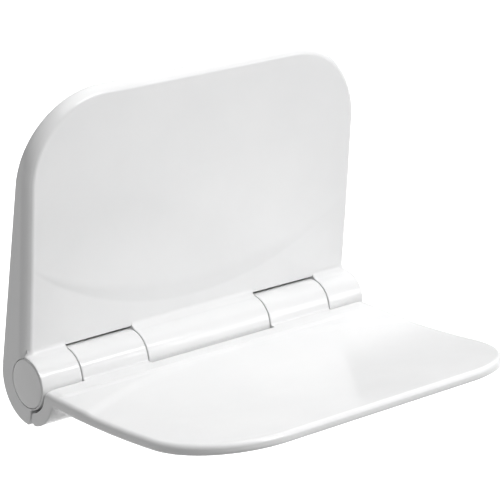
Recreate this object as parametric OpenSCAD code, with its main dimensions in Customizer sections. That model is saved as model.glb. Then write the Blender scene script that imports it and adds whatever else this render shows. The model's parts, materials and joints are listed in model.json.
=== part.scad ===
// Wall-mounted folding shower seat.
// A moulded wall plate hides a steel bracket. The seat swings on one steel
// axle through the five-knuckle barrel along its back edge.
// Frame: origin at the centre of the four wall holes, on the wall plane.
// +X to the right seen from the front, -Y out from the wall, +Z up.

/* [Overall] */
// width across the wall plate and the seat
overall_w = 380; // [360:2:400]
// height of the wall plate above the hinge axis
plate_h = 262; // [250:2:280]
// distance of the hinge axis from the wall
axis_out = 40; // [40:0.5:42]
// large corner radius of plate and seat
corner_r = 82; // [70:2:90]
// backward lean of the plate's face, degrees
lean = 5.75; // [5:0.25:6.5]

/* [Hinge] */
// radius of the knuckle barrel
barrel_r = 24.5; // [24:0.25:25]
// half length of the centre knuckle, up to the middle of its seam
seam_in = 72.4; // [70:0.2:75]
// distance from the centre to the middle of the outer seams
seam_out = 146.4; // [144:0.2:149]
// clear width of each seam between knuckles
seam_gap = 1; // [1:0.1:1.2]
// radius of the steel axle
axle_r = 8; // [7.5:0.25:8.5]
// radial clearance around the turning knuckles
turn_gap = 2; // [1.8:0.1:2.2]

/* [Seat] */
// upward tilt of the seat when folded down, degrees
seat_tilt = 14; // [11:0.5:14]
// drop of the seat's top face below the hinge axis
seat_drop = 4.3; // [3.5:0.1:5]
// thickness of the seat at its rounded edge
seat_t = 11; // [11:0.5:12]
// thickness of the cover under the seat
base_t = 3; // [2.8:0.1:3.1]

/* [Wall fixing] */
// sideways distance between the wall holes
hole_dx = 260; // [240:5:270]
// vertical distance between the wall holes
hole_dz = 160; // [150:5:170]
// radius of the wall holes in the bracket
hole_r = 4.5; // [3.5:0.25:5]

/* [Hidden] */
$fn = 96;
eps = 0.01;
hw = overall_w / 2;
wall = 3;
hole_mid = 130;
face_y = 2;
edge_r = 7;
seal_t = 1;
shell_back = axis_out - seal_t;
plate_len = plate_h * cos(lean) + (axis_out - face_y) * sin(lean);
hook_r = axis_out;
hook_in = hook_r - wall;
clear_r = barrel_r + turn_gap;
slot_y = -8;
slot_w = 2;
lobe_r = hook_r - 0.5;
fix_in = seam_in - seam_gap / 2;
turn_in = seam_in + seam_gap / 2;
turn_out = seam_out - seam_gap / 2;
fix_out = seam_out + seam_gap / 2;
bore_r = barrel_r - 4.5;
cap_r = barrel_r - 1.9;
recess_r = cap_r + 0.4;
recess_d = 5;
pin_fit = 0.05;
arc_r = 384;
arc_y = 52;
arc_step = 1.2;
arc_run = 14;
// seat levels, measured square to the seat's face
top_z = -seat_drop;
low_z = top_z - seat_t;
roof_z = top_z - 3.5;
pad_t = 0.8;
floor_z = low_z + base_t;
ledge_z = floor_z + pad_t;
seat_len = plate_len;
lug_t = 4;
steel_t = 3;
lug_in = 60;
lug_out = 158;
ring_x = 176;
tab_y = 21;
screw_in = 50;
screw_out = 167;
bar_x = 109;
bar_w = 24;
bar_h = 4;
bar_ys = [74, 140, 210];

// blend between the rear bar and the underside
lobe_f = 10;
lobe_c = [sqrt(pow(lobe_r + lobe_f, 2) - pow(low_z - lobe_f, 2)), low_z - lobe_f];
lobe_cm = [-lobe_c[0], lobe_c[1]];
lobe_k = lobe_r / (lobe_r + lobe_f);

function face_at(z) = face_y + z * tan(lean);

// ---------- helpers ----------

// half of a plate's cross-section, 0 to w wide, with rounded outer corners
module edge2d(w, t, rt, rb) {
  square([w - max(rt, rb), t]);
  if (t - rt - rb > eps) translate([0, rb]) square([w, t - rt - rb]);
  if (rt > 0) translate([w - rt, t - rt]) circle(rt);
  if (rb > 0) translate([w - rb, rb]) circle(rb);
}

// flat plate from y = a to y = l, far corners of radius rc
module rim_plate(w2, a, l, rc, t, rt, rb) {
  translate([-(w2 - rc), a, 0]) cube([2 * (w2 - rc), l - rc - a, t]);
  translate([-(w2 - rc), l - rc, 0]) rotate([90, 0, 90])
    linear_extrude(2 * (w2 - rc)) edge2d(rc, t, rt, rb);
  for (s = [0, 1]) mirror([s, 0, 0]) {
    translate([w2 - rc, l - rc, 0]) rotate([90, 0, 0])
      linear_extrude(l - rc - a) edge2d(rc, t, rt, rb);
    translate([w2 - rc, l - rc, 0])
      rotate_extrude(angle = 90) edge2d(rc, t, rt, rb);
  }
}

// places the hinge axis in the frame of the wall holes
module at_hinge() {
  translate([0, -axis_out, -hole_mid]) children();
}

// plane of the wall plate's face
module leaned() {
  translate([0, face_y, 0]) rotate([90 - lean, 0, 0]) children();
}

// plane of the seat
module tilted() {
  rotate([-seat_tilt, 0, 0]) rotate([0, 0, 180]) children();
}

// extrudes a (y, z) outline along x
module along_x(x0, x1) {
  translate([x0, 0, 0]) rotate([90, 0, 90]) linear_extrude(x1 - x0) children();
}

module both() {
  children();
  mirror([1, 0, 0]) children();
}

module rod_x(x0, x1, r) {
  translate([x0, 0, 0]) rotate([0, 90, 0]) cylinder(h = x1 - x0, r = r);
}

module tube_x(x0, x1, ro, ri) {
  difference() {
    rod_x(x0, x1, ro);
    rod_x(x0 - 1, x1 + 1, ri);
  }
}

// ---------- wall plate ----------

module shell_low2d() {
  circle(barrel_r);
  intersection() {
    circle(hook_r);
    translate([slot_y, -60]) square([60, 60]);
  }
  polygon([[face_at(0), 0], [axis_out, 0], [axis_out, 40], [face_at(40), 40]]);
}

module back_space2d() {
  intersection() {
    circle(hook_in);
    translate([0, -60]) square([60, 60]);
  }
  polygon([[face_at(0) + wall, 0], [axis_out + 1, 0],
           [axis_out + 1, 45], [face_at(45) + wall, 45]]);
}

module cover_boss_spots() {
  for (s = [-1, 1]) for (x = [screw_in, screw_out])
    translate([s * x, tab_y, 0]) children();
}

module wall_shell() {
  color("white") at_hinge() difference() {
    intersection() {
      translate([-hw - 1, -80, -60]) cube([overall_w + 2, 80 + shell_back, 360]);
      union() {
        leaned() translate([0, 0, -60])
          rim_plate(hw, 10, plate_len, corner_r, 60, edge_r, 0);
        along_x(-hw, hw) shell_low2d();
      }
    }
    // hollow behind the face
    difference() {
      leaned() translate([0, 0, -60 - wall])
        rim_plate(hw - wall, 38, plate_len - wall, corner_r - wall, 60, edge_r - wall, 0);
      for (s = [-1, 1]) for (z = [90, 200])
        translate([s * 110, 0, z]) rotate([-90, 0, 0])
          cylinder(h = axis_out - 6, r = 8);
    }
    // hollow behind the turning knuckles
    both() along_x(fix_in - wall, fix_out + wall) difference() {
      back_space2d();
      circle(clear_r + 2);
    }
    // clearance for the turning knuckles
    both() rod_x(fix_in, fix_out, clear_r);
    // hollow fixed knuckles, open to the back
    difference() {
      union() {
        along_x(-fix_in + wall, fix_in - wall) back_space2d();
        rod_x(-fix_in + wall, fix_in - wall, bore_r);
        both() along_x(fix_out + wall, ring_x) back_space2d();
        both() rod_x(fix_out + wall, hw - recess_d, bore_r);
      }
      cover_boss_spots() translate([0, 0, -36]) cylinder(h = 12.8, r = 5);
    }
    both() along_x(ring_x, hw - wall) difference() {
      back_space2d();
      circle(clear_r);
    }
    both() rod_x(hw - recess_d, hw + 1, recess_r);
    rod_x(-hw, hw, axle_r + 0.6);
    // screw holes from below
    cover_boss_spots() {
      translate([0, 0, -50]) cylinder(h = 40, r = 2.2);
      translate([0, 0, -50]) cylinder(h = 18.5, r = 4.2);
    }
    // shallow step under the arc on the face
    leaned() difference() {
      translate([-hw + 8, 30, -arc_step]) cube([overall_w - 16, 90, 5]);
      translate([0, arc_y + arc_r, -arc_step - eps])
        cylinder(h = arc_step + eps, r1 = arc_r, r2 = arc_r - arc_run, $fn = 360);
      translate([0, arc_y + arc_r, 0]) cylinder(h = 6, r = arc_r - arc_run, $fn = 360);
    }
  }
}

module wall_seal() {
  color("dimgray") at_hinge() translate([0, axis_out, 0]) rotate([90, 0, 0])
    difference() {
      rim_plate(hw - 0.6, 2, plate_h - 1.4, corner_r - 0.6, seal_t, 0, 0);
      translate([0, 0, -1])
        rim_plate(hw - 2.8, 0, plate_h - 3.6, corner_r - 2.8, 3, 0, 0);
    }
}

module lug2d() {
  difference() {
    union() {
      circle(15);
      square([axis_out - steel_t, 15]);
      polygon([[20, 15], [axis_out - steel_t, 15], [axis_out - steel_t, 62]]);
      intersection() {
        circle(hook_in - 0.5);
        translate([0, -23]) square([axis_out, 23]);
      }
    }
    circle(axle_r + pin_fit);
  }
}

module wall_bracket() {
  color("silver") at_hinge() difference() {
    union() {
      translate([0, axis_out, 0]) rotate([90, 0, 0])
        rim_plate(hw - 14, 1, plate_h - 18, 68, steel_t, 0, 0);
      // stiffening flange along the top edge
      translate([-100, axis_out - 9, plate_h - 21])
        cube([200, 9 - steel_t + eps, steel_t]);
    }
    for (sx = [-1, 1]) for (sz = [-1, 1])
      translate([sx * hole_dx / 2, axis_out - 10, hole_mid + sz * hole_dz / 2])
        rotate([-90, 0, 0]) cylinder(h = 20, r = hole_r);
  }
}

// lugs welded to the bracket, each with a tab for one cover screw
module hinge_lugs() {
  color("silver") at_hinge() difference() {
    both() {
      along_x(lug_in - lug_t / 2, lug_in + lug_t / 2) lug2d();
      along_x(lug_out - lug_t / 2, lug_out + lug_t / 2) lug2d();
      translate([lug_in - 18, 14, -23]) cube([16 + eps, 14, 3]);
      translate([lug_out + 2 - eps, 14, -23]) cube([14, 14, 3]);
    }
    cover_boss_spots() translate([0, 0, -30]) cylinder(h = 20, r = 3.05);
  }
}

module shell_pads() {
  color("gray") at_hinge() for (s = [-1, 1]) for (z = [90, 200])
    translate([s * 110, axis_out - 6, z]) rotate([-90, 0, 0])
      cylinder(h = 3, r = 7.5);
}

module cover_screws() {
  color("silver") at_hinge() cover_boss_spots() {
    difference() {
      translate([0, 0, -33.9]) cylinder(h = 2.4, r = 3.8);
      translate([0, 0, -35]) cylinder(h = 2.4, r = 1.6, $fn = 6);
    }
    translate([0, 0, -31.6]) cylinder(h = 17, r = 2);
  }
}

module rivet_nuts() {
  color("silver") at_hinge() cover_boss_spots() difference() {
    union() {
      translate([0, 0, -23]) cylinder(h = 7, r = 3);
      translate([0, 0, -20]) cylinder(h = 4, r = 4.2);
    }
    translate([0, 0, -24]) cylinder(h = 10, r = 2.05);
  }
}

// ---------- hinge ----------

module hinge_axle() {
  color("silver") at_hinge() difference() {
    rod_x(-166, 166, axle_r);
    rod_x(-170, 170, axle_r - 2.5);
    both() tube_x(lug_out + 3.1, lug_out + 4.5, axle_r + 2, axle_r - 0.7);
  }
}

module axle_clips() {
  color("dimgray") at_hinge() both() difference() {
    tube_x(lug_out + 3.2, lug_out + 4.4, axle_r + 2.5, axle_r - 0.65);
    translate([lug_out, -3, 0]) cube([10, 6, 20]);
  }
}

module axle_sleeve() {
  color("silver") at_hinge()
    tube_x(-lug_in + lug_t / 2 + 0.2, lug_in - lug_t / 2 - 0.2, axle_r + 3, axle_r + pin_fit);
}

module bush(x0, dir) {
  translate([x0, 0, 0]) rotate([0, 0, dir > 0 ? 0 : 180]) {
    tube_x(0.1, 1.3, axle_r + 7, axle_r + pin_fit);
    tube_x(0.2, 8, axle_r + 3, axle_r + pin_fit);
  }
}

module seat_bushes() {
  color("ivory") at_hinge() both() {
    bush(turn_in, 1);
    bush(turn_out, -1);
  }
}

module thrust_washers() {
  color("dimgray") at_hinge() both() {
    tube_x(fix_in + 0.1, turn_in - 0.1, axle_r + 10, axle_r + 0.3);
    tube_x(turn_out + 0.1, fix_out - 0.1, axle_r + 10, axle_r + 0.3);
  }
}

// half section of an end cap: domed disc with a grooved stem
module cap2d() {
  intersection() {
    translate([0, hw - 3.8]) edge2d(cap_r, 4.6, 1.2, 0);
    translate([0, hw - 259.2]) circle(r = 260, $fn = 360);
  }
  translate([bore_r - 2.6, hw - 12.5]) difference() {
    square([2.3, 8.7 + eps]);
    translate([0.8, 2.9]) square([5, 2]);
  }
}

module cap_body() {
  rotate([0, 90, 0]) rotate_extrude() cap2d();
}

module cap_right() {
  color("white") at_hinge() cap_body();
}

module cap_left() {
  color("white") at_hinge() mirror([1, 0, 0]) cap_body();
}

module cap_rings() {
  color("black") at_hinge() both() translate([hw - 8.6, 0, 0]) rotate([0, 90, 0])
    rotate_extrude() translate([bore_r - 0.92, 0]) circle(0.85);
}

module stop_buffers() {
  color("black") at_hinge() both() {
    translate([20, slot_y - 1.95, -36]) cube([40, 1.95, 8]);
    translate([150, slot_y - 1.95, -36]) cube([30, 1.95, 8]);
  }
}

// ---------- seat ----------

// rear bar under the hinge, drawn in the plane across the axis
module lobe2d() {
  intersection() {
    circle(lobe_r);
    translate([-60, -60]) square([60 + slot_y - slot_w, 120]);
    rotate([0, 0, -seat_tilt]) translate([-60, -60]) square([120, 60 + top_z - 3]);
  }
  // concave blend into the underside
  rotate([0, 0, -seat_tilt]) difference() {
    polygon([[-30, low_z + 1], [-lobe_c[0], low_z + 1], lobe_cm,
             [lobe_cm[0] * lobe_k, lobe_cm[1] * lobe_k]]);
    translate(lobe_cm) circle(lobe_f);
  }
}

module flange_spots() {
  for (s = [-1, 1]) {
    for (p = [[170, 84], [170, 150]]) translate([s * p[0], p[1], 0]) children();
    for (x = [35, 100]) translate([s * x, seat_len - 20, 0]) children();
    translate([s * 110, 57.5, 0]) children();
  }
}

module bar_spots() {
  for (s = [-1, 1]) for (y = bar_ys) translate([s * bar_x, y, 0]) children();
}

module seat_top() {
  color("white") at_hinge() difference() {
    union() {
      difference() {
        union() {
          tilted() translate([0, 0, low_z])
            rim_plate(hw, 14, seat_len, corner_r, seat_t, seat_t / 2, seat_t / 2);
          // raised land between the hinge and the arc
          tilted() difference() {
            translate([-hw + 6, 20, top_z - 1]) cube([overall_w - 12, 74, 1 + arc_step]);
            translate([0, arc_y + arc_r, top_z])
              cylinder(h = arc_step + 1, r1 = arc_r, r2 = arc_r + arc_run, $fn = 360);
          }
          along_x(-hw, hw) lobe2d();
        }
        rod_x(-hw - 1, hw + 1, clear_r);
        translate([-hw - 1, slot_y - slot_w, -60]) cube([overall_w + 2, 60, 120]);
      }
      // turning knuckles
      both() {
        rod_x(turn_in, turn_out, barrel_r);
        along_x(turn_in, turn_out) intersection() {
          circle(clear_r + 1);
          translate([-60, -60]) square([60 + slot_y - slot_w, 120]);
          rotate([0, 0, -seat_tilt]) translate([-60, -60]) square([120, 60 + top_z]);
        }
      }
    }
    // knuckle hollows and bush seats
    both() {
      rod_x(turn_in + 8, turn_out - 8, bore_r);
      rod_x(turn_in - 1, turn_out + 1, axle_r + 3.05);
      rod_x(turn_in - 1, turn_in + 1.4, axle_r + 7.1);
      rod_x(turn_out - 1.4, turn_out + 1, axle_r + 7.1);
    }
    // hollow under the seat's face
    tilted() difference() {
      union() {
        translate([0, 0, low_z - 1])
          rim_plate(hw - 7, 46, seat_len - 7, corner_r - 7, ledge_z - low_z + 1, 0, 0);
        translate([0, 0, low_z])
          rim_plate(hw - 14, 53, seat_len - 14, corner_r - 14, roof_z - low_z, 0, 0);
      }
      flange_spots() translate([0, 0, floor_z]) cylinder(h = 8, r = 4.5);
    }
    tilted() flange_spots() translate([0, 0, low_z]) cylinder(h = 7.5, r = 2);
  }
}

module seat_base() {
  color("white") at_hinge() tilted() difference() {
    union() {
      translate([0, 0, low_z])
        rim_plate(hw - 7.3, 46.3, seat_len - 7.3, corner_r - 7.3, base_t, 0, 1);
      // stiffening ribs
      for (x = [-150, -75, -50, -25, 0, 25, 50, 75, 150])
        translate([x - 1.25, 60, floor_z - 1]) cube([2.5, 171, roof_z - floor_z + 0.8]);
      for (y = [88, 122, 158, 192])
        translate([-90, y - 1.25, floor_z - 1]) cube([180, 2.5, roof_z - floor_z + 0.8]);
    }
    flange_spots() {
      translate([0, 0, low_z - 1]) cylinder(h = 10, r = 2.1);
      translate([0, 0, low_z - eps]) cylinder(h = 1.9, r1 = 3.8, r2 = 2.1);
    }
    bar_spots() {
      translate([0, 0, low_z - 1]) cylinder(h = 10, r = 2.7);
      translate([0, 0, low_z - eps]) cylinder(h = 2.4, r1 = 4.9, r2 = 2.7);
    }
  }
}

module seat_gasket() {
  color("black") at_hinge() tilted() translate([0, 0, floor_z + 0.02]) difference() {
    rim_plate(hw - 8, 47, seat_len - 8, corner_r - 8, pad_t - 0.04, 0, 0);
    translate([0, 0, -1])
      rim_plate(hw - 13.5, 52.5, seat_len - 13.5, corner_r - 13.5, 3, 0, 0);
  }
}

module seat_bars() {
  color("silver") at_hinge() tilted() for (s = [-1, 1]) difference() {
    translate([s * bar_x - bar_w / 2, 64, floor_z + 0.02]) cube([bar_w, 161, bar_h]);
    for (y = bar_ys) translate([s * bar_x, y, floor_z - 1]) cylinder(h = 20, r = 2.45);
  }
}

module bar_screws() {
  color("silver") at_hinge() tilted() bar_spots() difference() {
    union() {
      translate([0, 0, low_z + 0.1]) cylinder(h = 2.1, r1 = 4.7, r2 = 2.4);
      translate([0, 0, low_z + 2]) cylinder(h = base_t + bar_h - 2, r = 2.4);
    }
    translate([0, 0, low_z - 1]) cylinder(h = 2.6, r = 1.7, $fn = 6);
  }
}

module base_screws() {
  color("silver") at_hinge() tilted() flange_spots() difference() {
    union() {
      translate([0, 0, low_z + 0.1]) cylinder(h = 1.7, r1 = 3.6, r2 = 1.9);
      translate([0, 0, low_z + 1.7]) cylinder(h = 5.5, r = 1.9);
    }
    translate([0, 0, low_z - 1]) cylinder(h = 2.1, r = 1.3, $fn = 6);
  }
}

wall_shell();
wall_bracket();
hinge_lugs();
wall_seal();
shell_pads();
cover_screws();
rivet_nuts();
hinge_axle();
axle_clips();
axle_sleeve();
seat_bushes();
thrust_washers();
cap_left();
cap_right();
cap_rings();
stop_buffers();
seat_top();
seat_base();
seat_gasket();
seat_bars();
bar_screws();
base_screws();
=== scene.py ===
"""Wall-mounted folding shower seat in white moulded ABS, on a plain studio set.

The two large mouldings are meshed from signed distances, because their looks
come from soft blends between plate, knuckles, hooks and seat. Lengths in the
shape functions are millimetres in the hinge frame: the hinge axis is x, +y
points to the wall and +z up. `to_row` moves them into the frame of the CAD.
"""

import json
import math
import bmesh
import bpy
import numpy as np
from mathutils import Matrix

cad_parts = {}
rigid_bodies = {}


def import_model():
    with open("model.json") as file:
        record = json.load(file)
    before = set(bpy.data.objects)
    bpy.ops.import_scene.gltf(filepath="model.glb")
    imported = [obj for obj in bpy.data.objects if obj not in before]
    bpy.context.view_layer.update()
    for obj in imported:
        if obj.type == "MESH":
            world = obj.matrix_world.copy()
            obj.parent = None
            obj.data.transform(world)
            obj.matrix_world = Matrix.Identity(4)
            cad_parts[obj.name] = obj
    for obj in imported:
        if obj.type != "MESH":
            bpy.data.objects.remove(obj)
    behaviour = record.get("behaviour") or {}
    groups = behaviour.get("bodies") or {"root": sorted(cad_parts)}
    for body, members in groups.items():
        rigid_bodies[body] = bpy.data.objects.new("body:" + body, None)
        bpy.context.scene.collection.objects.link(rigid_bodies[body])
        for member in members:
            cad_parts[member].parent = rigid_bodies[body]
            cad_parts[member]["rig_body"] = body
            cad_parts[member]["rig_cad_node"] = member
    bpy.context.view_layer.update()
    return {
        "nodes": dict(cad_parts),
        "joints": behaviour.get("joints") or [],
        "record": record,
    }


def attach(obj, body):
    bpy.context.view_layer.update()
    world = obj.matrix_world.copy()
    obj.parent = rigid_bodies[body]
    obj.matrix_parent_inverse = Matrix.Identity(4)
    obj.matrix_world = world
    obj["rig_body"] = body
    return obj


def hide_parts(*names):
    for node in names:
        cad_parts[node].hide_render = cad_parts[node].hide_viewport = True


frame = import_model()

# ---------------------------------------------------------------- dimensions

AXIS = np.array(frame["joints"][0]["pos_m"]) * 1000.0
HALF_W = 190.0
CORNER_R = 82.0
PLATE_LEN = 264.5           # from the axis to the far edge, of plate and seat alike

# wall plate
LEAN = math.radians(5.75)
FACE_Y = 2.0
BACK_Y = 39.0
WALL = 3.0
BEVEL_IN, BEVEL_DEEP = 6.0, 6.0
BEVEL_ROUND, FACE_ROUND = 4.0, 1.2
FACE_FILLET = 7.0           # between face and fixed knuckles
BLEND_R = 38.0              # the fixed knuckles blend out within this radius

# barrel: knuckle ends along x, radii round the axis
FIX_IN, TURN_IN, TURN_OUT, FIX_OUT = 71.9, 72.9, 145.9, 146.9
BARREL_R = 24.5
CLEAR_R = 26.5
BORE_R = 20.0
AXLE_HOLE_R = 8.6
RECESS_R, RECESS_X = 23.0, 185.0
RING_X = 176.0
SEAM_ROUND = 0.7
END_ROUND = 1.5

# hook under the barrel, with the slot that the seat's lobe stands in
HOOK_R = 40.0
HOOK_TOP = 2.0
HOOK_CORNER = 3.0
SLOT_Y = -8.0

# posts for the cover screws in the hook, and bosses behind the face
SCREW_XS, SCREW_Y, SCREW_R, SCREW_END = (50.0, 167.0), 21.0, 2.2, -10.0
COUNTERBORE_R, COUNTERBORE_END = 4.2, -31.5
POST_R, POST_LOW, POST_HIGH = 5.0, -36.0, -23.2
BOSS_X, BOSS_LEVELS, BOSS_R, BOSS_Y = 110.0, (90.0, 200.0), 8.0, 34.0
HOLLOW_FROM = 38.0

# two arcs bound the crescent on the plate, which slopes between them
UPPER_ARC = (470.0, 409.5)
LOWER_ARC = (342.0, 300.0)
UPPER_SOFT, LOWER_SOFT = 4.0, 1.6
CRESCENT_SLOPE = 0.15

# arc of the shallow step on the seat
ARC_R = 384.0
ARC_Y = 52.0
STEP = 1.2
STEP_RUN = 14.0

# seat, in coordinates along and square to its plane
TILT = math.radians(14.0)
TOP_Z = -4.3
LOW_Z = -15.3
TOP_ROUND, LOW_ROUND = 5.0, 4.0
SEAT_FROM = 14.0
LOBE_R = 39.5
LOBE_OUT = -10.0
LOBE_CORNER = 8.0
LOBE_FILLET = 10.0
GAP_R, GAP_ROUND = 26.8, 1.2
MIDDLE_X = 80.0
MIDDLE_GAP, MIDDLE_ROUND = 1.7, 1.4      # added to both along the centre knuckle
BRIDGE_R = 36.0
BUSH_R, FLANGE_R, FLANGE_T, BUSH_LEN = 11.05, 15.1, 1.4, 8.0
LEDGE_IN, LEDGE_Z, LEDGE_FROM = 7.0, -11.5, 46.0
ROOF_IN, ROOF_Z, ROOF_FROM = 14.0, -7.8, 53.0

# side view of the seat's curve: slope at the hinge, then an upward bend
CURVE_START, CURVE_SLOPE, CURVE_BEND = 0.333, 0.145, 5.0e-4
BEND_FROM, BEND_RUN = -30.0, 20.0


# ------------------------------------------------------------ distance tools

def cap0(value):
    return np.maximum(value, 0.0)


def rint(a, b, r):
    """Intersection of two shapes, with the edge between them rounded."""
    return np.minimum(np.maximum(a + r, b + r), 0.0) + np.hypot(cap0(a + r), cap0(b + r)) - r


def rsub(a, b, r):
    """Shape a without shape b, with a rounded edge."""
    return rint(a, -b, r)


def rjoin(a, b, r):
    """Union of two shapes, with a concave fillet of radius r."""
    r = np.maximum(r, 1e-6)
    return np.maximum(r, np.minimum(a, b)) - np.hypot(cap0(r - a), cap0(r - b))


def span(x, low, high):
    """Signed distance to the stretch from low to high along one axis."""
    return np.maximum(low - x, x - high)


def outline(u, v, half, length, corner):
    """Flat outline with two round far corners, open towards -v."""
    du = np.abs(u) - (half - corner)
    dv = v - (length - corner)
    return np.hypot(cap0(du), cap0(dv)) + np.minimum(np.maximum(du, dv), 0.0) - corner


def positive(value, soft):
    """The positive part of a value, with its start rounded over +-soft."""
    return np.where(value > soft, value, cap0(value + soft) ** 2 / (4.0 * soft))


def crescent(x, v):
    """Depth of the plate's face below its upper part."""
    past_upper, past_lower = (np.hypot(x, v - centre) - radius
                              for centre, radius in (UPPER_ARC, LOWER_ARC))
    upper, lower = positive(past_upper, UPPER_SOFT), positive(past_lower, LOWER_SOFT)
    return CRESCENT_SLOPE * cap0(upper - lower)


def smooth(t):
    t = np.clip(t, 0.0, 1.0)
    return t * t * (3.0 - 2.0 * t)


# ----------------------------------------------------------------- the plate

def plate_face(y, z):
    """Height above the leaning face, and length along it."""
    w = -(y - FACE_Y) * math.cos(LEAN) + z * math.sin(LEAN)
    v = (y - FACE_Y) * math.sin(LEAN) + z * math.cos(LEAN)
    return w, v


def wall_shape(x, y, z):
    x = np.abs(x)
    r = np.hypot(y, z)
    w, v = plate_face(y, z)
    w_skin = w + crescent(x, v)

    edge = outline(x, v, HALF_W, PLATE_LEN, CORNER_R)
    bevel = (BEVEL_DEEP * (edge + BEVEL_IN) + BEVEL_IN * w_skin) / math.hypot(BEVEL_IN, BEVEL_DEEP)
    panel = rint(rint(edge, bevel, BEVEL_ROUND), w_skin, FACE_ROUND)
    plate = np.maximum(panel, -5.0 - z)
    round_hook = rint(r - HOOK_R, SLOT_Y - y, HOOK_CORNER)
    hook = rint(rint(round_hook, z - HOOK_TOP, 0.5), x - HALF_W, END_ROUND)
    shape = np.minimum(plate, hook)

    # fixed knuckles, blended into the face above and the hook below; large
    # numbers switch the hook off above the axis and the face off below it
    section = rjoin(r - BARREL_R, np.maximum(panel, -20.0 - z), FACE_FILLET)
    section = rjoin(section, round_hook + 40.0 * (z > -5.0), 1.5)
    section = np.maximum(np.maximum(section, r - BLEND_R), -w_skin - WALL - 100.0 * (z < 0.0))
    zones = np.minimum(x - FIX_IN, span(x, FIX_OUT, HALF_W))
    knuckles = rint(section, zones, SEAM_ROUND)
    shape = np.maximum(np.minimum(shape, knuckles), x - HALF_W)

    # windows for the turning knuckles
    window = np.maximum(r - CLEAR_R, span(x, FIX_IN, FIX_OUT))
    shape = rsub(shape, window, 0.8)

    # hollow behind the face, round the bosses
    lining = rint(rint(edge + WALL, bevel + WALL, 2.0), w_skin + WALL, 0.8)
    hollow = np.maximum(lining, HOLLOW_FROM - v)
    for level in BOSS_LEVELS:
        boss = np.maximum(np.hypot(x - BOSS_X, z - level) - BOSS_R, y - BOSS_Y)
        hollow = np.maximum(hollow, -boss)

    # hollows behind the barrel, all open to the wall, and the bores
    rear = np.maximum(np.maximum(r - (HOOK_R - WALL), -y), z - HOOK_TOP)
    rear = np.minimum(rear, np.maximum(lining, span(z, 0.0, 45.0)))
    inner_end, outer_start = FIX_IN - WALL, FIX_OUT + WALL
    behind = np.maximum(rear, np.maximum(CLEAR_R + 2.0 - r, span(x, inner_end, outer_start)))
    inner = np.minimum(x - inner_end, span(x, outer_start, RING_X))
    bores = np.minimum(x - inner_end, span(x, outer_start, RECESS_X))
    fixed = np.minimum(np.maximum(rear, inner), np.maximum(r - BORE_R, bores))
    ends = np.maximum(rear, np.maximum(CLEAR_R - r, span(x, RING_X, HALF_W - WALL)))
    screws = 1e3
    for at in SCREW_XS:
        d = np.hypot(x - at, y - SCREW_Y)
        fixed = np.maximum(fixed, -np.maximum(d - POST_R, span(z, POST_LOW, POST_HIGH)))
        screws = np.minimum(screws, np.maximum(d - SCREW_R, z - SCREW_END))
        screws = np.minimum(screws, np.maximum(d - COUNTERBORE_R, z - COUNTERBORE_END))
    cuts = np.minimum(np.minimum(hollow, behind), np.minimum(fixed, ends))
    cuts = np.minimum(cuts, np.maximum(r - RECESS_R, RECESS_X - x))
    cuts = np.minimum(np.minimum(cuts, r - AXLE_HOLE_R), screws)
    return np.maximum(np.maximum(shape, -cuts), y - BACK_Y)


# ------------------------------------------------------------------ the seat

def rise(y):
    """How far the curved seat stands above its flat CAD plane; negative is below."""
    curve = CURVE_START - CURVE_SLOPE * y + CURVE_BEND * np.minimum(y - BEND_FROM, 0.0) ** 2
    flat = TOP_Z / math.cos(TILT) - math.tan(TILT) * y
    return curve - flat


def bend(y):
    """The part of that rise that every piece of the seat follows."""
    return rise(y) * smooth((BEND_FROM - y) / BEND_RUN)


def seat_shape(x, y, z):
    """y and z lie along and square to the seat, before it is bent."""
    x = np.abs(x)
    r = np.hypot(y, z)
    out = -y * math.cos(TILT) + z * math.sin(TILT)

    radial = np.hypot(x, y - (ARC_Y + ARC_R))
    land = STEP * (smooth((radial - ARC_R) / STEP_RUN) - 0.5)
    top = TOP_Z + land + (rise(out) - bend(out)) * math.cos(TILT)
    edge = outline(x, y, HALF_W, PLATE_LEN, CORNER_R)
    slab = np.maximum(rint(edge, z - top, TOP_ROUND), rint(edge, LOW_Z - z, LOW_ROUND))
    slab = np.maximum(slab, SEAT_FROM - y)
    lobe = rint(r - LOBE_R, out - LOBE_OUT, LOBE_CORNER)
    lobe = rint(np.maximum(lobe, z - (TOP_Z - WALL)), x - HALF_W, END_ROUND)
    body = rjoin(slab, lobe, LOBE_FILLET * smooth((HALF_W + 2.0 - x) / 12.0))

    # a rounded gap runs along the barrel, and the turning knuckles bridge it
    middle = smooth((MIDDLE_X - x) / 4.0)
    rim = rsub(body, r - GAP_R - MIDDLE_GAP * middle, GAP_ROUND + MIDDLE_ROUND * middle)
    section = rjoin(np.maximum(body, r - BRIDGE_R), r - BARREL_R, 2.0)
    knuckles = rint(section, span(x, TURN_IN, TURN_OUT), SEAM_ROUND)
    shape = np.minimum(rim, knuckles)

    # bore, bush seats and room for the bush flanges, cut from just past the
    # knuckles' ends
    past_in, past_out = TURN_IN - 1.0, TURN_OUT + 1.0
    bore = np.maximum(r - BORE_R, span(x, TURN_IN + BUSH_LEN, TURN_OUT - BUSH_LEN))
    bush = np.maximum(r - BUSH_R, span(x, past_in, past_out))
    rims = np.minimum(span(x, past_in, TURN_IN + FLANGE_T), span(x, TURN_OUT - FLANGE_T, past_out))
    cuts = np.minimum(np.minimum(bore, bush), np.maximum(r - FLANGE_R, rims))

    # the hollow under the seat: a ledge for the cover, and the space inside
    for inset, level, start in ((LEDGE_IN, LEDGE_Z, LEDGE_FROM), (ROOF_IN, ROOF_Z, ROOF_FROM)):
        inside = outline(x, y, HALF_W - inset, PLATE_LEN - inset, CORNER_R - inset)
        cuts = np.minimum(cuts, np.maximum(np.maximum(inside, start - y), z - level))
    return np.maximum(shape, -cuts)


# -------------------------------------------------------------------- meshing

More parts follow.
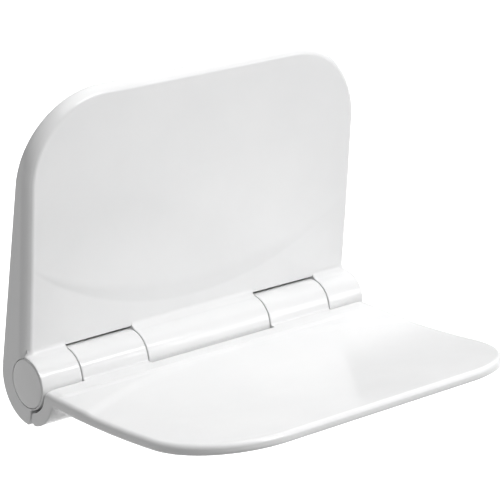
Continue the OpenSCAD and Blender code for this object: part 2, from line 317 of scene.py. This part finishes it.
def line(*stretches):
    """Grid positions from (start, end, step) stretches that follow each other."""
    parts = []
    for start, end, step in stretches:
        count = max(1, round((end - start) / step))
        parts.append(np.linspace(start, end, count, endpoint=False))
    return np.append(np.concatenate(parts), stretches[-1][1])


def mirrored(half):
    return np.concatenate([-half[:0:-1], half])


def sample(shape, gx, gy, gz):
    """The shape on every grid point; it is even in x, so half is computed."""
    half = gx[gx >= 0.0]
    values = shape(half[:, None, None], gy[None, :, None], gz[None, None, :])
    return np.concatenate([values[:0:-1], values])


def surface(shape, gx, gy, gz):
    """Vertices on the zero level of the shape, unit normals and quads."""
    f = sample(shape, gx, gy, gz)
    inside = f < 0.0
    total = np.zeros(tuple(n - 1 for n in f.shape), np.int8)
    corners = [(i, j, k) for i in (0, 1) for j in (0, 1) for k in (0, 1)]
    for i, j, k in corners:
        total += inside[i:i + total.shape[0], j:j + total.shape[1], k:k + total.shape[2]]
    cells = np.argwhere((total > 0) & (total < 8))
    lookup = np.full(total.shape, -1, np.int64)
    lookup[tuple(cells.T)] = np.arange(len(cells))

    grids = (gx, gy, gz)
    points = np.zeros((len(cells), 3))
    crossings = np.zeros(len(cells))
    for start in corners:
        for axis in range(3):
            if start[axis]:
                continue
            a = cells + np.array(start)
            b = a.copy()
            b[:, axis] += 1
            fa, fb = f[tuple(a.T)], f[tuple(b.T)]
            cut = (fa < 0.0) != (fb < 0.0)
            t = np.where(cut, fa / np.where(cut, fa - fb, 1.0), 0.0)
            at = np.stack([g[a[:, n]] for n, g in enumerate(grids)], 1)
            at[:, axis] += t * (grids[axis][b[:, axis]] - grids[axis][a[:, axis]])
            points += at * cut[:, None]
            crossings += cut
    points /= crossings[:, None]
    low = np.stack([g[cells[:, n]] for n, g in enumerate(grids)], 1)
    high = np.stack([g[cells[:, n] + 1] for n, g in enumerate(grids)], 1)

    def slope(at):
        h = 0.02
        parts = []
        for axis in range(3):
            d = np.zeros(3)
            d[axis] = h
            parts.append((shape(*(at + d).T) - shape(*(at - d).T)) / (2.0 * h))
        return np.stack(parts, 1)

    for _ in range(4):
        g = slope(points)
        step = shape(*points.T) / np.maximum((g * g).sum(1), 0.2)
        points = np.clip(points - g * step[:, None], low, high)
    g = slope(points)
    normals = g / np.maximum(np.linalg.norm(g, axis=1), 1e-9)[:, None]

    quads = []
    for axis in range(3):
        p, q = (axis + 1) % 3, (axis + 2) % 3
        size = list(f.shape)
        size[axis] -= 1
        a = np.take(inside, range(0, f.shape[axis] - 1), axis)
        b = np.take(inside, range(1, f.shape[axis]), axis)
        edges = np.argwhere(a != b)
        keep = (edges[:, p] > 0) & (edges[:, q] > 0)
        keep &= (edges[:, p] < f.shape[p] - 1) & (edges[:, q] < f.shape[q] - 1)
        edges = edges[keep]
        ring = []
        for dp, dq in ((-1, -1), (0, -1), (0, 0), (-1, 0)):
            cell = edges.copy()
            cell[:, p] += dp
            cell[:, q] += dq
            ring.append(lookup[tuple(cell.T)])
        ring = np.stack(ring, 1)
        flip = ~a[tuple(edges.T)]
        ring[flip] = ring[flip][:, ::-1]
        quads.append(ring)
    return points, normals, np.concatenate(quads)


def to_row(points):
    return (points + AXIS) / 1000.0


def make_mesh(name, points, normals, faces):
    """A smooth-shaded mesh object, from points in the row frame in metres."""
    mesh = bpy.data.meshes.new(name)
    mesh.from_pydata(points.tolist(), [], faces.tolist())
    mesh.polygons.foreach_set("use_smooth", np.ones(len(faces), bool))
    mesh.normals_split_custom_set_from_vertices(normals.tolist())
    mesh.validate(clean_customdata=False)
    mesh.update()
    obj = bpy.data.objects.new(name, mesh)
    bpy.context.scene.collection.objects.link(obj)
    return obj


def place(obj, body, slot, *nodes):
    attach(obj, body)
    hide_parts(*nodes)
    obj.data.materials.append(MATERIALS[slot])
    return obj


# ------------------------------------------------------------------ materials

class Nodes:
    """Short helpers for building one procedural material."""

    def __init__(self, name):
        self.material = bpy.data.materials.new(name)
        self.material.use_nodes = True
        self.tree = self.material.node_tree
        self.shader = self.tree.nodes["Principled BSDF"]
        self.where = self.add("ShaderNodeTexCoord").outputs["Object"]

    def add(self, kind, **settings):
        node = self.tree.nodes.new(kind)
        for key, value in settings.items():
            setattr(node, key, value)
        return node

    def link(self, source, target):
        self.tree.links.new(source, target)

    def set(self, **values):
        for key, value in values.items():
            self.shader.inputs[key.replace("_", " ")].default_value = value

    def noise(self, per_metre, detail=2.0, stretch=(1.0, 1.0, 1.0)):
        scale = self.add("ShaderNodeMapping")
        scale.inputs["Scale"].default_value = stretch
        self.link(self.where, scale.inputs["Vector"])
        noise = self.add("ShaderNodeTexNoise")
        noise.inputs["Scale"].default_value = per_metre
        noise.inputs["Detail"].default_value = detail
        self.link(scale.outputs["Vector"], noise.inputs["Vector"])
        return noise.outputs["Fac"]

    def spread(self, source, low, high):
        node = self.add("ShaderNodeMapRange")
        node.inputs["From Min"].default_value = 0.3
        node.inputs["From Max"].default_value = 0.7
        node.inputs["To Min"].default_value = low
        node.inputs["To Max"].default_value = high
        self.link(source, node.inputs["Value"])
        return node.outputs["Result"]

    def colour(self, source, dark, light):
        ramp = self.add("ShaderNodeValToRGB")
        ramp.color_ramp.elements[0].position = 0.3
        ramp.color_ramp.elements[0].color = (*dark, 1.0)
        ramp.color_ramp.elements[1].position = 0.7
        ramp.color_ramp.elements[1].color = (*light, 1.0)
        self.link(source, ramp.inputs["Fac"])
        self.link(ramp.outputs["Color"], self.shader.inputs["Base Color"])

    def bump(self, *layers):
        """Stacks (source, height in metres) layers."""
        last = None
        for source, depth in layers:
            node = self.add("ShaderNodeBump")
            node.inputs["Strength"].default_value = 1.0
            node.inputs["Distance"].default_value = depth
            self.link(source, node.inputs["Height"])
            if last is not None:
                self.link(last.outputs["Normal"], node.inputs["Normal"])
            last = node
        self.link(last.outputs["Normal"], self.shader.inputs["Normal"])


def moulded(name, dark, light, rough):
    """Glossy moulded ABS: faint cloudiness, flow ripple and a fine orange peel."""
    m = Nodes(name)
    m.colour(m.noise(14.0, 3.0), dark, light)
    m.link(m.spread(m.noise(45.0, 4.0), rough - 0.03, rough + 0.04), m.shader.inputs["Roughness"])
    m.bump((m.noise(28.0, 1.0), 0.00010), (m.noise(900.0, 2.0), 0.000004))
    m.set(IOR=1.52, Specular_IOR_Level=0.5)
    return m.material


def brushed(name, dark, light, rough, grain=(1.0, 1.0, 1.0)):
    """Metal with fine drawn lines along one direction."""
    m = Nodes(name)
    m.colour(m.noise(500.0, 3.0, grain), dark, light)
    shine = m.spread(m.noise(800.0, 3.0, grain), rough - 0.06, rough + 0.08)
    m.link(shine, m.shader.inputs["Roughness"])
    m.bump((m.noise(900.0, 2.0, grain), 0.000012))
    m.set(Metallic=1.0)
    return m.material


def matte(name, dark, light, rough, per_metre, depth):
    """Rubber, foam or acetal: mottled colour over a grainy skin."""
    m = Nodes(name)
    m.colour(m.noise(120.0, 4.0), dark, light)
    m.link(m.spread(m.noise(300.0, 3.0), rough - 0.08, rough + 0.06), m.shader.inputs["Roughness"])
    m.bump((m.noise(per_metre, 3.0), depth))
    return m.material


MATERIALS = {
    "white_gloss": moulded("white_gloss", (0.835, 0.837, 0.84), (0.86, 0.861, 0.862), 0.14),
    # white_cap is a lighter copy of the mouldings' white: painted light that lifts the caps on the
    # shaded left end
    "white_cap": moulded("white_cap", (0.885, 0.885, 0.885), (0.91, 0.91, 0.91), 0.16),
    "stainless": brushed("stainless", (0.52, 0.52, 0.53), (0.68, 0.68, 0.69), 0.32,
                         (0.04, 1.0, 1.0)),
    "aluminium": brushed("aluminium", (0.62, 0.63, 0.64), (0.76, 0.76, 0.78), 0.38,
                         (1.0, 0.05, 1.0)),
    "black_rubber": matte("black_rubber", (0.018, 0.018, 0.018), (0.04, 0.04, 0.04), 0.65,
                          1500.0, 0.00004),
    "grey_foam": matte("grey_foam", (0.16, 0.16, 0.17), (0.29, 0.29, 0.30), 0.88, 2200.0, 0.0002),
    "acetal": matte("acetal", (0.78, 0.77, 0.72), (0.86, 0.85, 0.81), 0.42, 900.0, 0.00001),
    "dark_acetal": matte("dark_acetal", (0.07, 0.07, 0.07), (0.13, 0.13, 0.13), 0.48,
                         900.0, 0.00001),
    "spring_steel": brushed("spring_steel", (0.16, 0.16, 0.17), (0.3, 0.3, 0.31), 0.45),
}

slots = {part["node"]: part["material_slot"] for part in frame["record"]["subparts"]}
for name, node in frame["nodes"].items():
    for holder in node.material_slots:
        holder.material = MATERIALS[slots[name]]

# --------------------------------------------------------- the two mouldings

# fine steps where edges, seams and fillets are, coarse ones on flat faces
DETAIL_X = ((0, 44, 2.6), (44, 56, 1.0), (56, 66, 2.5), (66, 76, 0.7), (76, 104, 2.6),
            (104, 140, 1.5), (140, 150, 0.7), (150, 180, 1.5), (180, 191.5, 0.75))
grid_x = mirrored(line(*DETAIL_X))

points, normals, quads = surface(
    wall_shape, grid_x, line((-26.2, 40.7, 0.9)),
    line((-41.5, 34, 1.0), (34, 106, 1.3), (106, 180, 4.0), (180, 252, 1.5), (252, 265, 0.85)))
wall_skin = make_mesh("wall_moulding", to_row(points), normals, quads)
place(wall_skin, "wall_unit", "white_gloss", "wall_shell")


def untilt(points):
    """Seat-plane coordinates to the hinge frame."""
    c, s = math.cos(TILT), math.sin(TILT)
    x, y, z = points.T
    return np.stack([x, -y * c + z * s, y * s + z * c], 1)


points, normals, quads = surface(
    seat_shape, grid_x,
    line((-26, 52, 0.9), (52, 180, 4.0), (180, 250, 1.5), (250, 266, 0.8)),
    line((-41.5, -18, 0.8), (-18, -2, 0.75), (-2, 26, 0.95)))
points, normals = untilt(points), untilt(normals)
slope_y = (bend(points[:, 1] + 0.1) - bend(points[:, 1] - 0.1)) / 0.2
points[:, 2] += bend(points[:, 1])
normals[:, 1] -= slope_y * normals[:, 2]
normals /= np.linalg.norm(normals, axis=1)[:, None]
seat_skin = make_mesh("seat_moulding", to_row(points), normals, quads[:, ::-1])
place(seat_skin, "seat", "white_gloss", "seat_top")


def bent_copy(node):
    """The CAD piece, following the upward curve of the seat."""
    source = frame["nodes"][node]
    obj = source.copy()
    obj.data = source.data.copy()
    obj.name = node + "_curved"
    bpy.context.scene.collection.objects.link(obj)
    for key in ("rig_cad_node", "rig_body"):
        if key in obj:
            del obj[key]
    obj.parent = None
    bm = bmesh.new()
    bm.from_mesh(obj.data)
    bmesh.ops.remove_doubles(bm, verts=bm.verts, dist=1e-6)
    for out in range(-260, -44, 8):
        everything = bm.verts[:] + bm.edges[:] + bm.faces[:]
        at = (0.0, (out + AXIS[1]) / 1000.0, 0.0)
        bmesh.ops.bisect_plane(bm, geom=everything, dist=1e-7, plane_co=at,
                               plane_no=(0.0, 1.0, 0.0))
    for vert in bm.verts:
        vert.co.z += float(bend(vert.co.y * 1000.0 - AXIS[1])) / 1000.0
    bm.to_mesh(obj.data)
    bm.free()
    facing = np.zeros(len(obj.data.polygons) * 3)
    obj.data.polygons.foreach_get("normal", facing)
    # the long flat faces are shaded flat; slivers round the holes in them still
    # leave faint streaks
    obj.data.polygons.foreach_set("use_smooth", np.abs(facing[2::3]) < 0.93)
    obj.data.set_sharp_from_angle(angle=math.radians(28.0))
    obj.data.materials.clear()
    return place(obj, "seat", slots[node], node)


for node in ("seat_base", "seat_gasket", "seat_bars", "bar_screws", "base_screws"):
    bent_copy(node)


def lathe(name, profile, side, body, slot, *nodes):
    """A turned piece around the hinge axis, from (radius, x) points."""
    turns = 128
    angle = np.arange(turns) * 2.0 * math.pi / turns
    rings = []
    for radius, x in profile:
        ring = np.stack([np.full(turns, side * x),
                         radius * np.cos(angle), radius * np.sin(angle)], 1)
        rings.append(ring if radius > 0.0 else ring[:1])
    starts = np.cumsum([0] + [len(ring) for ring in rings])
    faces = []
    for n in range(len(rings) - 1):
        for k in range(turns):
            near = [starts[n] + j % len(rings[n]) for j in (k, (k + 1) % turns)]
            far = [starts[n + 1] + j % len(rings[n + 1]) for j in ((k + 1) % turns, k)]
            face = list(dict.fromkeys(int(i) for i in near + far))
            faces.append(face if side > 0 else face[::-1])
    mesh = bpy.data.meshes.new(name)
    mesh.from_pydata(to_row(np.concatenate(rings)).tolist(), [], faces)
    mesh.polygons.foreach_set("use_smooth", np.ones(len(faces), bool))
    mesh.set_sharp_from_angle(angle=math.radians(35.0))
    obj = bpy.data.objects.new(name, mesh)
    bpy.context.scene.collection.objects.link(obj)
    return place(obj, body, slot, *nodes)


def cap_profile():
    """Domed disc with a rounded rim, and a grooved stem behind it."""
    crown, dome, radius, rim = 190.9, 380.0, 22.75, 1.8
    points = [(r, crown - r * r / (2.0 * dome)) for r in np.linspace(0.0, radius - rim, 18)]
    edge = points[-1][1] - rim
    for turn in np.radians(np.linspace(82.0, 0.0, 9)):
        points.append((radius - rim + rim * math.cos(turn), edge + rim * math.sin(turn)))
    points += [(radius, 186.2), (19.7, 186.2), (19.7, 182.4), (18.2, 182.4), (18.2, 180.4),
               (19.7, 180.4), (19.7, 177.5), (17.4, 177.5), (17.4, 186.2), (0.0, 186.2)]
    return points


# the end caps take the lighter white_cap, which is painted light on the shaded ends
for side, name in ((-1, "left"), (1, "right")):
    lathe("cap_disc_" + name, cap_profile(), side, "wall_unit", "white_cap", "cap_" + name)


# -------------------------------------------------------------------- camera

AZIMUTH, ELEVATION, ROLL = (math.radians(a) for a in (-41.963, 26.032, 6.824))
DISTANCE = 2.296173
TARGET = np.array([0.056455, -0.040, -0.051899])
back = np.array([math.sin(AZIMUTH) * math.cos(ELEVATION),
                 -math.cos(AZIMUTH) * math.cos(ELEVATION), math.sin(ELEVATION)])
right = np.array([math.cos(AZIMUTH), math.sin(AZIMUTH), 0.0])
up = np.cross(back, right)
turned_x = right * math.cos(ROLL) + up * math.sin(ROLL)
turned_y = up * math.cos(ROLL) - right * math.sin(ROLL)
lens = bpy.data.cameras.new("camera")
lens.sensor_width = 36.0
lens.lens = 176.07
lens.clip_start = 0.05
lens.clip_end = 60.0
camera = bpy.data.objects.new("camera", lens)
bpy.context.scene.collection.objects.link(camera)
matrix = np.eye(4)
matrix[:3, 0], matrix[:3, 1], matrix[:3, 2] = turned_x, turned_y, back
matrix[:3, 3] = TARGET + DISTANCE * back
camera.matrix_world = Matrix(matrix.tolist())
bpy.context.scene.camera = camera

# -------------------------------------------------------------------- studio


def softbox(name, azimuth, elevation, distance, size, watts):
    """A square area light around the object; azimuth 0 is in front, 90 to the right."""
    a, e = math.radians(azimuth), math.radians(elevation)
    w = np.array([math.sin(a) * math.cos(e), -math.cos(a) * math.cos(e), math.sin(e)])
    where = np.array([0.0, -0.1, 0.0]) + distance * w
    data = bpy.data.lights.new(name, "AREA")
    data.shape = "SQUARE"
    data.size = size
    data.energy = watts
    obj = bpy.data.objects.new(name, data)
    bpy.context.scene.collection.objects.link(obj)
    u = np.array([math.cos(a), math.sin(a), 0.0])
    v = np.cross(w, u)
    m = np.eye(4)
    m[:3, 0], m[:3, 1], m[:3, 2], m[:3, 3] = u, v, w, where
    obj.matrix_world = Matrix(m.tolist())
    return obj


softbox("top_light", 0.0, 88.0, 2.4, 2.0, 17.5)
softbox("front_light", 24.0, 53.0, 1.7, 0.75, 15.3)
softbox("front_right_low", 45.0, 20.0, 2.6, 0.8, 7.0)
softbox("front_right_spot", 44.0, 39.0, 2.6, 0.26, 2.2)
softbox("rear_right", 138.0, 42.0, 2.8, 4.0, 40.0)

world = bpy.data.worlds.new("studio")
bpy.context.scene.world = world
world.use_nodes = True
wt = world.node_tree
wt.nodes.clear()
ambient = wt.nodes.new("ShaderNodeBackground")
ambient.inputs["Color"].default_value = (1.0, 1.0, 1.0, 1.0)
ambient.inputs["Strength"].default_value = 0.27
backdrop = wt.nodes.new("ShaderNodeBackground")
backdrop.inputs["Color"].default_value = (1.0, 1.0, 1.0, 1.0)
backdrop.inputs["Strength"].default_value = 1.1
path = wt.nodes.new("ShaderNodeLightPath")
mix = wt.nodes.new("ShaderNodeMixShader")
output = wt.nodes.new("ShaderNodeOutputWorld")
wt.links.new(path.outputs["Is Camera Ray"], mix.inputs["Fac"])
wt.links.new(ambient.outputs["Background"], mix.inputs[1])
wt.links.new(backdrop.outputs["Background"], mix.inputs[2])
wt.links.new(mix.outputs["Shader"], output.inputs["Surface"])

# pale floor, well below the seat
FLOOR_Z, FLOOR_HALF = -0.62, 12.0
floor_mesh = bpy.data.meshes.new("floor")
floor_corners = [(sx * FLOOR_HALF, sy * FLOOR_HALF, FLOOR_Z)
                 for sx, sy in ((-1, -1), (1, -1), (1, 1), (-1, 1))]
floor_mesh.from_pydata(floor_corners, [], [(0, 1, 2, 3)])
floor = bpy.data.objects.new("floor", floor_mesh)
bpy.context.scene.collection.objects.link(floor)
fl = Nodes("floor")
fl.colour(fl.noise(3.0, 3.0), (0.9, 0.9, 0.9), (0.94, 0.94, 0.94))
fl.set(Roughness=0.8, Emission_Color=(1.0, 1.0, 1.0, 1.0), Emission_Strength=0.85)
floor_mesh.materials.append(fl.material)
floor.visible_diffuse = False

view = bpy.context.scene.view_settings
view.view_transform = "Standard"
view.look = "None"
view.exposure = 0.0
view.gamma = 1.0
